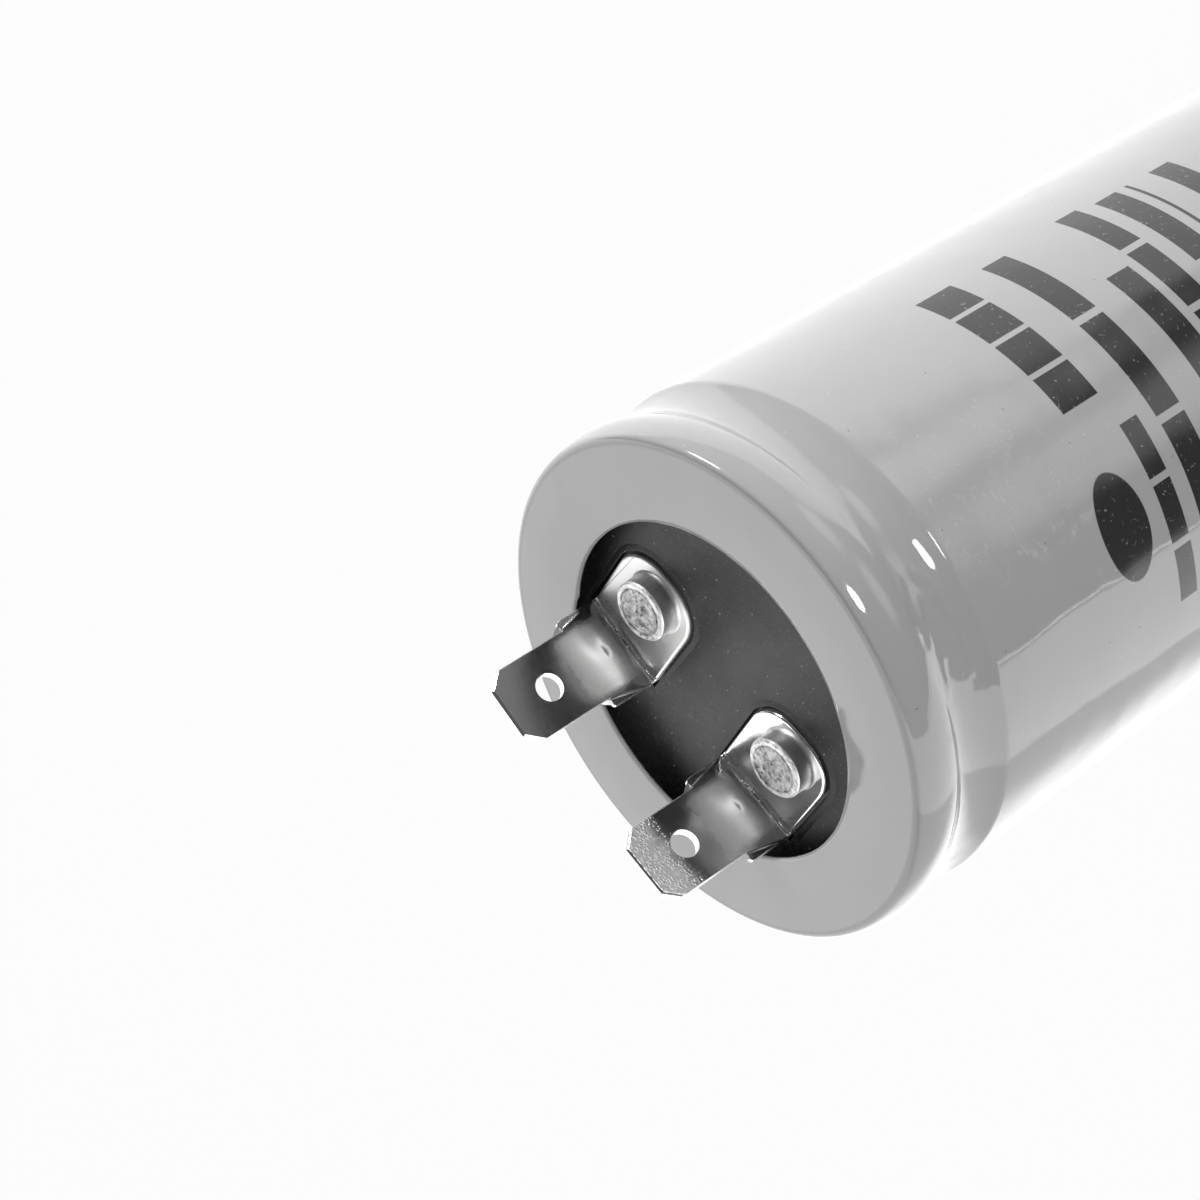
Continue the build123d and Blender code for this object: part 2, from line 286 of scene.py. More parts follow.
class Flow:
    """An output socket that takes part in Python sums, each of which adds a Math node."""

    def __init__(self, tree, socket):
        self.tree = tree
        self.socket = socket

    def math(self, operation, *values):
        return self.tree.node("ShaderNodeMath", {"operation": operation}, list(values))

    def __add__(self, other):
        return self.math("ADD", self, other)

    def __radd__(self, other):
        return self.math("ADD", other, self)

    def __sub__(self, other):
        return self.math("SUBTRACT", self, other)

    def __rsub__(self, other):
        return self.math("SUBTRACT", other, self)

    def __mul__(self, other):
        return self.math("MULTIPLY", self, other)

    def __rmul__(self, other):
        return self.math("MULTIPLY", other, self)

    def __truediv__(self, other):
        return self.math("DIVIDE", self, other)

    def __pow__(self, other):
        return self.math("POWER", self, other)

    def __neg__(self):
        return self.math("MULTIPLY", self, -1.0)

    def absolute(self):
        return self.math("ABSOLUTE", self)

    def fraction(self):
        return self.math("FRACT", self)

    def most(self, other):
        return self.math("MAXIMUM", self, other)

    def least(self, other):
        return self.math("MINIMUM", self, other)

    def rise(self, low, high):
        """Smooth step from 0 at low to 1 at high."""
        return self.tree.node(
            "ShaderNodeMapRange", {"interpolation_type": "SMOOTHSTEP", "clamp": True},
            {"Value": self, "From Min": low, "From Max": high})

    def fall(self, low, high):
        """Smooth step from 1 at low to 0 at high."""
        return 1.0 - self.rise(low, high)

    def window(self, low, high, soft):
        """1 between two values and 0 outside them, with soft ends."""
        return self.rise(low - soft, low + soft) * self.fall(high - soft, high + soft)


class Tree:
    """A node tree with one way to add a node."""

    def __init__(self, tree):
        self.tree = tree
        self.tree.nodes.clear()

    def node(self, kind, settings=None, values=None, output=0):
        """Adds a node, sets it up, then fills its sockets by name or in order."""
        made = self.tree.nodes.new(kind)
        for name, value in (settings or {}).items():
            setattr(made, name, value)
        pairs = values.items() if isinstance(values, dict) else enumerate(values or [])
        for name, value in pairs:
            socket = made.inputs[name]
            if isinstance(value, Flow):
                self.tree.links.new(value.socket, socket)
            elif value is not None:
                socket.default_value = value
        return Flow(self, made.outputs[output])

    def dot(self, vector, direction):
        """Part of a vector along a direction."""
        made = self.node("ShaderNodeVectorMath", {"operation": "DOT_PRODUCT"}, {0: vector, 1: direction})
        return Flow(self, made.socket.node.outputs["Value"])


class Finish(Tree):
    """A procedural material on Object coordinates, worked in millimetres."""

    def __init__(self, name, **constants):
        self.material = bpy.data.materials.new(name)
        self.material.use_nodes = True
        super().__init__(self.material.node_tree)
        self.shader = self.tree.nodes.new("ShaderNodeBsdfPrincipled")
        for socket, value in constants.items():
            self.shader.inputs[socket.replace("_", " ")].default_value = value
        output = self.tree.nodes.new("ShaderNodeOutputMaterial")
        self.tree.links.new(self.shader.outputs[0], output.inputs["Surface"])
        place = self.node("ShaderNodeTexCoord", output="Object")
        self.place = self.node("ShaderNodeVectorMath", {"operation": "SCALE"}, {0: place, "Scale": 1 / MM})
        self.x, self.y, self.z = self.parts(self.place)

    def along(self, direction, origin):
        """Distance in millimetres from a point of the frame along a direction."""
        return self.dot(self.place, direction) - direction.dot(origin) / MM

    def parts(self, vector):
        """The three values of a vector."""
        split = self.node("ShaderNodeSeparateXYZ", values=[vector]).socket.node
        return [Flow(self, split.outputs[axis]) for axis in "XYZ"]

    def vector(self, x, y, z):
        return self.node("ShaderNodeCombineXYZ", values=[x, y, z])

    def noise(self, scale, seed=0.0, detail=2.0, rough=0.5, place=None, warp=0.0):
        return self.node(
            "ShaderNodeTexNoise", {"noise_dimensions": "4D"},
            {"Vector": place or self.place, "W": seed, "Scale": scale, "Detail": detail,
             "Roughness": rough, "Distortion": warp})

    def specks(self, scale, size, share, seed=0.0, place=None):
        """Small round spots of a size in millimetres, in a share of the cells of a flat Voronoi pattern."""
        shifted = self.node("ShaderNodeVectorMath", {"operation": "ADD"},
                            {0: place or self.place, 1: (seed * 37.0, seed * 53.0, 0.0)})
        cell = self.node("ShaderNodeTexVoronoi", {"voronoi_dimensions": "2D", "feature": "F1"},
                         {"Vector": shifted, "Scale": scale, "Randomness": 1.0})
        size = size * scale
        colour = Flow(self, cell.socket.node.outputs["Color"])
        pick = self.parts(colour)[0]
        return cell.fall(size * 0.5, size) * pick.rise(1.0 - share - 0.001, 1.0 - share + 0.001)

    def mix(self, share, first, second):
        """Colour between two colours by a share."""
        colours = [c if isinstance(c, Flow) else (*c[:3], 1.0) for c in (first, second)]
        made = self.node(
            "ShaderNodeMix", {"data_type": "RGBA"}, {"Factor": share, 6: colours[0], 7: colours[1]})
        return Flow(self, made.socket.node.outputs[2])

    def grey(self, value):
        return self.node("ShaderNodeCombineColor", values=[value, value, value])

    def shade(self, colour, factor):
        """A colour made lighter or darker by a value."""
        base = colour if isinstance(colour, Flow) else (*colour[:3], 1.0)
        made = self.node(
            "ShaderNodeMix", {"data_type": "RGBA", "blend_type": "MULTIPLY"},
            {"Factor": 1.0, 6: base, 7: self.grey(factor)})
        return Flow(self, made.socket.node.outputs[2])

    def wear(self, **values):
        """Links values to the shader's own sockets."""
        for name, value in values.items():
            self.tree.links.new(value.socket, self.shader.inputs[name.replace("_", " ")])

    def bump(self, height, distance, strength=1.0, under=None):
        """A normal raised by a height times a distance in metres, over another normal."""
        values = {"Height": height, "Distance": distance, "Strength": strength}
        if under is not None:
            values["Normal"] = under
        return self.node("ShaderNodeBump", values=values)


def printed_bars(finish, around, up):
    """Share of ink in the rows of plain bars and blocks, by angle in degrees and height in mm."""
    ink = None
    for start, end, low, high, pitch, share in BAR_ROWS:
        bar = around.window(start, end, BAR_END_SOFT) * up.window(low, high, BAR_EDGE_SOFT)
        if share < 1.0:
            soft = BAR_END_SOFT / pitch
            bar = bar * ((end - around) / pitch).fraction().fall(share - soft, share + soft)
        ink = bar if ink is None else ink.most(bar)
    across = (around - OVAL_ANGLE) / OVAL_HALF_ANGLE
    along = (up - OVAL_HEIGHT) / OVAL_HALF_HEIGHT
    oval = (across * across + along * along).fall(0.96, 1.04)
    return ink.most(oval)


def sleeve_finish(colours):
    """Glossy grey film with plain printed bars, fine scratch lines, specks and a slight ripple; the scratch
    lines are painted lighter in a patch by the groove's highlight as painted glints, and a narrow band
    round the rim is painted dark as a painted reflection.
    """
    film = Finish("shrunk_film", Specular_IOR_Level=0.5, IOR=1.5)
    radius = (film.x * film.x + film.y * film.y) ** 0.5
    around = film.x.math("ARCTAN2", film.y, film.x) * math.degrees(1.0)
    wall = radius.rise(WALL_RADIUS - 0.4, WALL_RADIUS - 0.2)
    ink = printed_bars(film, around, film.z) * wall
    worn = film.noise(2.6, 3.0, 4.0, 0.65).rise(0.30, 0.40)
    ink = ink * (0.55 + 0.45 * worn)
    arc = around * math.radians(WALL_RADIUS)
    flat = film.vector(arc, film.z, 0.0)
    turned = film.node(
        "ShaderNodeMapping", {}, {"Vector": flat, "Rotation": (0.0, 0.0, 0.55), "Scale": (0.35, 2.2, 1.0)})
    lines = (film.noise(1.1, 5.0, 3.0, 0.6, turned, 0.6) - 0.5).absolute().fall(0.002, 0.007)
    crossed = film.node(
        "ShaderNodeMapping", {}, {"Vector": flat, "Rotation": (0.0, 0.0, -0.35), "Scale": (0.5, 2.6, 1.0)})
    crossing = (film.noise(1.0, 15.0, 3.0, 0.6, crossed, 0.6) - 0.5).absolute().fall(0.002, 0.006)
    lines = lines.most(crossing)
    broken = film.noise(1.3, 8.0, 2.0, 0.5, flat).rise(0.49, 0.58)
    # Real scratches, kept to a patch beside the groove's highlight, where their lighter colour is a painted
    # glint
    rubbed_glint_patch = around.window(-114.0, -82.0, 9.0) * film.z.window(56.0, 71.0, 4.0) * wall
    rubbed_glint_patch = rubbed_glint_patch * (1.0 - 0.8 * ink)
    scratches_and_glints = lines * broken * rubbed_glint_patch
    faint = lines * film.noise(0.5, 12.0, 2.0, 0.5, flat).rise(0.60, 0.72) * (1.0 - ink) * 0.35
    marks = scratches_and_glints.most(faint)
    dark = film.specks(0.20, 0.075, 0.2, 1.0, flat)
    pale = film.specks(0.30, 0.055, 0.2, 2.0, flat)
    cloud = film.noise(0.12, 4.0, 3.0, 0.55)
    # Painted dark reflection: the stretched mask darkens the film in a narrow band round the rim, standing
    # in for the dark line that the glossy rim mirrors
    rim = radius.window(WALL_RADIUS - 1.1, WALL_RADIUS - 0.55, 0.12)
    stretched = rim * film.z.rise(FILM_TOP - 1.15, FILM_TOP - 0.6)
    base = film.shade(colours.film, 0.965 + 0.07 * cloud - 0.24 * stretched)
    base = film.mix(faint * 0.3, base, (0.85, 0.85, 0.85))
    base = film.mix(ink, base, colours.ink)
    # Painted glints: the scratch lines are made lighter in colour, standing in for the lamp's light that
    # they catch
    base = film.mix(scratches_and_glints * 0.55, base, (0.85, 0.85, 0.85))
    base = film.mix(dark * 0.75, base, (0.03, 0.03, 0.03))
    base = film.mix(pale * 0.8, base, (0.9, 0.9, 0.9))
    rough = colours.roughness + 0.03 * film.noise(0.35, 6.0, 3.0, 0.6) + 0.2 * marks + 0.08 * ink
    ripple = film.noise(0.20, 7.0, 1.0, 0.4)
    peel = film.noise(2.4, 9.0, 2.0, 0.5)
    soft = film.bump(ripple, 0.00012, 0.9)
    fine = film.bump(peel, 0.00001, 0.2, soft)
    cut = film.bump(1.0 - marks, 0.00002, 0.6, fine)
    film.wear(Base_Color=base, Roughness=rough, Normal=cut)
    return film.material


def rubber_finish(colours):
    """Satin black rubber with dust, pale lint and a fine moulded grain."""
    rubber = Finish("deck_rubber", Specular_IOR_Level=0.30, IOR=1.5)
    cloud = rubber.noise(0.28, 1.0, 4.0, 0.6)
    fine = rubber.noise(3.5, 2.0, 3.0, 0.6)
    big = rubber.specks(0.55, 0.085, 0.30, 3.0)
    small = rubber.specks(2.2, 0.045, 0.30, 4.0)
    stretched = rubber.node("ShaderNodeMapping", {}, {
        "Vector": rubber.place, "Rotation": (0.0, 0.0, 0.9), "Scale": (0.5, 2.6, 1.0)})
    lint = (rubber.noise(0.75, 5.0, 3.0, 0.6, stretched, 0.8) - 0.5).absolute().fall(0.002, 0.006)
    lint = lint * rubber.noise(0.6, 6.0, 2.0, 0.5).rise(0.56, 0.66)
    haze = rubber.noise(0.16, 11.0, 3.0, 0.6).rise(0.35, 0.75)
    base = rubber.shade(colours.rubber, 0.75 + 0.5 * cloud + 0.5 * haze)
    base = rubber.mix(haze * 0.06, base, colours.dust)
    base = rubber.mix(big.most(small * 0.7).most(lint * 0.35), base, colours.dust)
    rough = 0.36 + 0.16 * cloud + 0.08 * fine
    grain = rubber.bump(fine, 0.00003, 0.5)
    raised = rubber.bump(big.most(small), 0.00005, 0.6, grain)
    rubber.wear(Base_Color=base, Roughness=rough, Normal=raised)
    return rubber.material


def tin_finish(colours, letter, crust_share):
    """Tinned sheet, mottled, with a domed neck and grains near one tip; its edges are painted pale as a
    painted highlight, its neck darker as painted shade, and its crease dark as painted shade with bright
    specks as painted glints.
    """
    tin = Finish("tinned_sheet_" + letter, Metallic=1.0)
    mounts = {mount["name"]: mount for mount in frame["record"]["mounts"]}
    tip = Vector(mounts["blade_" + letter]["pos_m"])
    up = Vector(mounts["blade_" + letter]["axis"])
    front = Vector(mounts["tab_hole_" + letter]["axis"])
    down = tin.along(-up, tip)
    across = tin.along(up.cross(front), tip)
    aside = across.absolute()
    out = tin.along(front, tip) - SHEET / 2
    half = BLADE_HALF + (NECK_HALF - BLADE_HALF) * down.rise(BLADE_LENGTH - 0.01, BLADE_LENGTH + 0.01)
    corner = (BLADE_HALF - aside) * CUT_LENGTH + down * CUT_ACROSS - CUT_LENGTH * CUT_ACROSS
    corner = corner * (1 / math.hypot(CUT_LENGTH, CUT_ACROSS))
    inside = (half - aside).least(down).least(corner).most(0.0)
    # Painted highlight: the rim mask marks the sheet's edges, which are made pale in colour to stand in for
    # the light that their rounded edges catch
    rim = inside.fall(0.0, 0.12)
    drop = (0.09 - inside).most(0.0)
    mottle = tin.noise(2.2, 1.0, 4.0, 0.65)
    grain = tin.noise(9.0, 2.0, 3.0, 0.6)
    flat = tin.vector(across, down, 0.0)
    sparkle = tin.specks(4.5, 0.13, 0.6, 3.0, flat)
    ragged = down + (tin.noise(0.9, 4.0, 2.0, 0.6) - 0.5) * 1.4
    crust = ragged.fall(2.0, 4.2) * out.window(-0.05, 0.05, 0.02) * crust_share
    # Painted shade: the crease mask darkens a thin line on the inside of the bend, where shade falls; the
    # pits in it are bright specks, painted glints
    crease = down.window(BEND - 0.26, BEND - 0.10, 0.04) * out.fall(0.25, 0.3)
    press = out.window(0.8, 1.05, 0.15) * down.rise(BEND - 0.1, BEND)
    pits = tin.specks(4.0, 0.09, 0.5, 5.0, flat) * crease
    from_dome = BEND - DOME_DROP - down
    dome = DOME_HEIGHT - (aside * aside + from_dome * from_dome) * (1 / (2 * DOME_RADIUS))
    swell = -dome.most(0.0)
    for middle, height in SWELLINGS:
        beside = (across - middle) / SWELLING_WIDTH
        above = (BEND - SWELLING_DROP - down) / SWELLING_LENGTH
        spread = -(beside * beside + above * above)
        swell = swell + height * spread.math("EXPONENT", spread) * down.fall(BEND - 0.9, BEND - 0.1)
    face = out.window(-0.05, 0.3, 0.02)
    # Painted shade: the neck mask darkens the front of the neck in colour, standing in for the shade near
    # the bend and the dark rubber it mirrors; it also roughens it
    neck = down.window(BLADE_LENGTH - 1.2, BEND - 0.4, 1.0) * aside.fall(2.2, 3.4) * face
    facing = face * down.fall(BEND - 0.3, BEND - 0.05)
    base = tin.shade(colours.tin, 0.86 + 0.20 * mottle + 0.12 * grain - 0.15 * neck)
    # Painted shade along the inside of the bend
    base = tin.mix(crease * 0.6, base, (0.12, 0.12, 0.12))
    base = tin.mix(press * 0.3, base, (0.9, 0.9, 0.9))
    # Painted highlights: the pits in the crease and the rim along the edges are made near white, standing
    # in for glints
    base = tin.mix((crust * (0.5 + 0.5 * sparkle)).most(pits).most(rim * 0.8), base, (0.95, 0.95, 0.95))
    plate = down.rise(BEND - 0.1, BEND + 0.3)
    rough = colours.tin_roughness + 0.29 * neck + 0.34 * plate + 0.12 * (mottle - 0.5)
    rough = rough + 0.4 * crust + 0.15 * crease + 0.15 * rim
    soft = tin.bump(mottle, 0.00002, 0.3)
    rolled = tin.bump(grain, 0.00001, 0.45, soft)
    domed = tin.bump(swell * facing, 0.001, 1.0, rolled)
    rounded = tin.bump(drop * drop * -5.5, 0.001, 1.0, domed)
    rising = tin.bump((sparkle * crust).most(pits), 0.00008, 0.8, rounded)
    tin.wear(Base_Color=base, Roughness=rough, Normal=rising)
    return tin.material


def rivet_finish(colours, letter):
    """Aluminium rivet with a pitted, grainy cap, a bright rim and a smooth side with faint draw lines."""
    metal = Finish("deck_rivet_" + letter, Metallic=1.0)
    low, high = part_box("rivet_" + letter)
    aside = metal.x - (low.x + high.x) / 2 / MM
    across = metal.y - (low.y + high.y) / 2 / MM
    radius = (aside * aside + across * across) ** 0.5
    cap = metal.z.rise(CAP_TOP - 0.16, CAP_TOP - 0.04)
    grain = metal.noise(1.5, 1.0, 6.0, 0.72).rise(0.36, 0.66)
    pits = metal.specks(1.7, 0.17, 0.5, 2.0)
    rim = radius.rise(CAP_RADIUS - 0.3, CAP_RADIUS - 0.12) * cap
    dent = radius.window(CAP_RADIUS - 0.42, CAP_RADIUS - 0.3, 0.05) * cap
    stretched = metal.node("ShaderNodeMapping", {}, {"Vector": metal.place, "Scale": (3.2, 3.2, 0.25)})
    lines = metal.noise(1.6, 3.0, 3.0, 0.6, stretched)
    tone = 0.84 + 0.2 * lines - cap * (0.62 - 0.6 * grain) - cap * pits * 0.2 + rim * 0.3 - dent * 0.2
    base = metal.shade(colours.aluminium, tone)
    rough = 0.38 + 0.12 * lines + cap * (0.25 * grain - 0.16)
    drawn = metal.bump(lines, 0.00002, 0.25)
    rough_cap = metal.bump((0.4 * grain - 0.5 * pits - 0.6 * dent) * cap, 0.00012, 1.0, drawn)
    metal.wear(Base_Color=base, Roughness=rough, Normal=rough_cap)
    return metal.material


def drawn_finish(name, colour, stretch, scale, roughness):
    """Plain aluminium with draw lines stretched along one axis and a slight haze."""
    metal = Finish(name, Metallic=1.0)
    place = metal.node("ShaderNodeMapping", {}, {"Vector": metal.place, "Scale": stretch})
    lines = metal.noise(scale, 1.0, 4.0, 0.6, place)
    haze = metal.noise(0.3, 2.0, 3.0, 0.6)
    dents = metal.specks(0.5, 0.2, 0.3, 3.0)
    base = metal.shade(colour, 0.86 + 0.14 * lines + 0.10 * haze - 0.15 * dents)
    rough = roughness + 0.12 * haze + 0.08 * lines
    normal = metal.bump(lines, 0.00001, 0.3)
    metal.wear(Base_Color=base, Roughness=rough, Normal=normal)
    return metal.material


def laminate_finish(colours):
    """Brown paper laminate with a faint weave and darker fibres."""
    board = Finish("deck_laminate", Specular_IOR_Level=0.4)
    weave = board.x.math("SINE", board.x * 5.2) * board.y.math("SINE", board.y * 5.2)
    fibres = board.noise(1.4, 2.0, 5.0, 0.7)
    base = board.shade(colours.laminate, 0.8 + 0.35 * fibres + 0.06 * weave)
    rough = 0.42 + 0.18 * fibres
    board.wear(Base_Color=base, Roughness=rough, Normal=board.bump(weave + fibres, 0.00002, 0.3))
    return board.material


def paper_finish(name, colour, scale):
    """Pressed paper with loose fibres and oil-soaked patches."""
    paper = Finish(name, Specular_IOR_Level=0.3)
    fibres = paper.noise(scale, 1.0, 6.0, 0.75, None, 0.4)
    soaked = paper.noise(0.12, 2.0, 3.0, 0.5).rise(0.45, 0.62)
    flecks = paper.specks(0.9, 0.14, 0.3, 3.0)
    base = paper.shade(colour, 0.82 + 0.30 * fibres - 0.18 * soaked - 0.2 * flecks)
    rough = 0.74 - 0.28 * soaked + 0.1 * fibres
    paper.wear(Base_Color=base, Roughness=rough, Normal=paper.bump(fibres, 0.00004, 0.5))
    return paper.material


def roll_finish(foil, paper):
    """Ends of the wound foil and paper, in fine turns round the mandrel."""
    roll = Finish("wound_foil", Specular_IOR_Level=0.4)
    radius = (roll.x * roll.x + roll.y * roll.y) ** 0.5
    angle = roll.x.math("ARCTAN2", roll.y, roll.x) * (0.5 / math.pi)
    wander = roll.noise(0.3, 1.0, 3.0, 0.5)
    turn = (radius * 2.4 + angle + wander * 0.4).fraction()
    foil_line = turn.window(0.30, 0.58, 0.08)
    fibres = roll.noise(2.5, 4.0, 4.0, 0.7)
    between = roll.shade(paper, 0.75 + 0.4 * fibres)
    base = roll.mix(foil_line, between, roll.shade(foil, 0.85 + 0.2 * fibres))
    rough = 0.68 - 0.34 * foil_line + 0.1 * fibres
    roll.wear(Base_Color=base, Roughness=rough, Metallic=foil_line * 0.9,
              Normal=roll.bump(foil_line + 0.4 * fibres, 0.00008, 0.5))
    return roll.material


def dress(material, *names):
    """Gives CAD nodes one material."""
    for name in names:
        slots = frame["nodes"][name].data.materials
        if not slots:
            slots.append(material)
        for index in range(len(slots)):
            slots[index] = material


def arc_points(centre, radius, start, end, steps):
    """Points of an arc in the plane of radius and height, angles in degrees."""
    made = []
    for step in range(steps + 1):
        angle = math.radians(start + (end - start) * step / steps)
        made.append((centre[0] + radius * math.cos(angle), centre[1] + radius * math.sin(angle)))
    return made


def film_profile(sizes, inset):
    """Line of the film from its base edge out, up past the bead and in to the mouth, set in by an inset."""
    outer = SLEEVE_RADIUS
    depth = sizes.bead_depth
    middle = SLEEVE_HEIGHT - sizes.bead_height
    lower_half = sizes.bead_width / 2
    lower_turn = 2 * math.atan(depth / lower_half)
    hollow = lower_half / math.sin(lower_turn) - sizes.lower_shoulder
    both = hollow + sizes.upper_shoulder
    upper_half = math.sqrt(2 * depth * both - depth * depth)
    upper_turn = 2 * math.atan(depth / upper_half)
    start = middle - lower_half
    low = sizes.base_corner
    points = [(sizes.base_radius, inset)]
    points += arc_points((outer - low, low), low - inset, -90, 0, BASE_STEPS)
    points += [(outer - inset, low + (start - low) * step / WALL_STEPS) for step in range(1, WALL_STEPS)]
    points += arc_points((outer - sizes.lower_shoulder, start), sizes.lower_shoulder - inset,
                         0, math.degrees(lower_turn), SHOULDER_STEPS)
    points += arc_points((outer - depth + hollow, middle), hollow + inset,
                         180 + math.degrees(lower_turn), 180 - math.degrees(upper_turn), BEAD_STEPS)
    points += arc_points((outer - sizes.upper_shoulder, middle + upper_half), sizes.upper_shoulder - inset,
                         -math.degrees(upper_turn), 0, UPPER_STEPS)
    widest = middle + upper_half
    lean = math.asin((SLEEVE_HEIGHT - widest - sizes.rim_corner) / (sizes.ring_bulge - sizes.rim_corner))
    points += arc_points((outer - sizes.ring_bulge, widest), sizes.ring_bulge - inset,
                         0, math.degrees(lean), BULGE_STEPS)[1:]
    face_start = outer - (sizes.ring_bulge - sizes.rim_corner) * (1 - math.cos(lean)) - sizes.rim_corner
    points += arc_points((face_start, SLEEVE_HEIGHT - sizes.rim_corner), sizes.rim_corner - inset,
                         math.degrees(lean), 90, RIM_STEPS)[1:]
    for step in range(1, FACE_STEPS + 1):
        radius = face_start + (sizes.mouth_radius - face_start) * step / FACE_STEPS
        free = max(0.0, (FREE_RADIUS - radius) / (FREE_RADIUS - sizes.mouth_radius))
        points.append((radius, SLEEVE_HEIGHT - inset - sizes.droop * free ** 1.5))
    return points


def section_object(name, outline):
    """A closed flat line of a section, drawn as radius on X and height on Z."""
    line = bpy.data.curves.new(name, "CURVE")
    line.dimensions = "3D"
    spline = line.splines.new("POLY")
    spline.points.add(len(outline) - 1)
    for point, (radius, height) in zip(spline.points, outline):
        point.co = (radius, 0.0, height, 1.0)
    spline.use_cyclic_u = True
    made = bpy.data.objects.new(name, line)
    bpy.context.scene.collection.objects.link(made)
    return made


class Fields(Tree):
    """A geometry node group with named inputs."""

    def __init__(self, name, sockets):
        group = bpy.data.node_groups.new(name, "GeometryNodeTree")
        super().__init__(group)
        group.interface.new_socket("Geometry", in_out="INPUT", socket_type="NodeSocketGeometry")
        group.interface.new_socket("Geometry", in_out="OUTPUT", socket_type="NodeSocketGeometry")
        for label, (kind, default) in sockets.items():
            made = group.interface.new_socket(label, in_out="INPUT", socket_type=kind)
            if default is not None:
                made.default_value = default
        self.source = self.tree.nodes.new("NodeGroupInput")
        self.sink = self.tree.nodes.new("NodeGroupOutput")

    def given(self, label):
        """A named input of the group."""
        return Flow(self, self.source.outputs[label])

    def link_out(self, flow):
        """Makes a flow the geometry that the group gives out."""
        self.tree.links.new(flow.socket, self.sink.inputs["Geometry"])

    def other(self, flow, output):
        """Another output of the node that a flow comes from."""
        return Flow(self, flow.socket.node.outputs[output])


def lathe_group():
    """Turns a closed section into a film round Z, with puckers in the bead and a wandering cut edge."""
    g = Fields("Shrunk film", {
        "Around": ("NodeSocketInt", 256), "Along": ("NodeSocketInt", 240),
        "Bead Height": ("NodeSocketFloat", 0.0738), "Pucker": ("NodeSocketFloat", 0.0001),
        "Edge Wave": ("NodeSocketFloat", 0.00006), "Mouth": ("NodeSocketFloat", 0.014),
        "Neck Angle": ("NodeSocketFloat", 0.48), "Neck Push": ("NodeSocketFloat", 0.0003),
        "Seed": ("NodeSocketFloat", 3.0), "Material": ("NodeSocketMaterial", None)})
    along = g.given("Along")
    around = g.given("Around")
    grid = g.node("GeometryNodeMeshGrid", {}, {"Size X": 1.0, "Size Y": 1.0,
                                               "Vertices X": along + 1.0, "Vertices Y": around + 1.0})
    split = g.node("ShaderNodeSeparateXYZ", {}, [g.node("GeometryNodeInputPosition")])
    share = (split + 0.5).most(0.0).least(1.0)
    turn = (g.other(split, 1) + 0.5) * (2 * math.pi)
    index = g.node("FunctionNodeFloatToInt", {"rounding_mode": "ROUND"}, [share * along])
    index = g.node("FunctionNodeIntegerMath", {"operation": "MODULO"}, [index, along])
    sample = g.node("GeometryNodeSampleIndex", {"data_type": "FLOAT_VECTOR", "domain": "POINT"}, {
        "Geometry": g.given("Geometry"), "Value": g.node("GeometryNodeInputPosition"), "Index": index})
    spot = g.node("ShaderNodeSeparateXYZ", {}, [sample])
    radius, height = spot, g.other(spot, 2)
    ring = g.node("ShaderNodeCombineXYZ", {}, [turn.math("COSINE", turn), turn.math("SINE", turn), 0.0])
    middle = g.given("Bead Height")
    near_bead = (height - middle).absolute().fall(*PUCKER_REACH)
    across = g.node("ShaderNodeVectorMath", {"operation": "SCALE"}, {0: ring, "Scale": WRINKLES_AROUND})
    slant = g.node("ShaderNodeVectorMath", {"operation": "ADD"},
                   {0: across, 1: g.node("ShaderNodeCombineXYZ", {}, [0.0, 0.0, height * WRINKLES_UP])})
    wrinkle = g.node("ShaderNodeTexNoise", {"noise_dimensions": "4D"},
                     {"Vector": slant, "W": g.given("Seed"), "Scale": 1.1, "Detail": 1.0, "Roughness": 0.5})
    ridge = (wrinkle - 0.5).absolute().fall(0.0, 0.07)
    patch = g.node("ShaderNodeTexNoise", {"noise_dimensions": "4D"},
                   {"Vector": ring, "W": g.given("Seed") + 5.0, "Scale": 1.1, "Detail": 0.0})
    lift = ridge * near_bead * patch.rise(0.52, 0.68) * g.given("Pucker")
    wander = g.node("ShaderNodeTexNoise", {"noise_dimensions": "4D"}, {
        "Vector": ring, "W": g.given("Seed") + 9.0, "Scale": 4.0, "Detail": 3.0, "Roughness": 0.6})
    from_mouth = radius - g.given("Mouth")
    at_edge = from_mouth.absolute().fall(0.0, 0.0012)
    at_edge = at_edge * height.rise(SLEEVE_HEIGHT - 0.005, SLEEVE_HEIGHT - 0.004)
    aside = (turn - g.given("Neck Angle")).absolute()
    pushed = from_mouth.fall(0.0004, 0.0036) * height.rise(SLEEVE_HEIGHT - 0.002, SLEEVE_HEIGHT - 0.0005)
    notch = aside.fall(0.04, 0.12) * pushed * g.given("Neck Push")
    reach = radius + lift + notch + (wander - 0.25) * at_edge * g.given("Edge Wave") * 2.0
    spread = g.node("ShaderNodeVectorMath", {"operation": "SCALE"}, {0: ring, "Scale": reach})
    place = g.node("ShaderNodeVectorMath", {"operation": "ADD"},
                   {0: spread, 1: g.node("ShaderNodeCombineXYZ", {}, [0.0, 0.0, height])})
    moved = g.node("GeometryNodeSetPosition", {}, {"Geometry": grid, "Position": place})
    merged = g.node("GeometryNodeMergeByDistance", {}, {"Geometry": moved, "Distance": 0.000004})
    smooth = g.node("GeometryNodeSetShadeSmooth", {}, {"Geometry": merged, "Shade Smooth": True})
    real = g.node("GeometryNodeRealizeInstances", {}, {"Geometry": smooth})
    g.link_out(g.node("GeometryNodeSetMaterial", {}, {"Geometry": real, "Material": g.given("Material")}))
    return g.tree


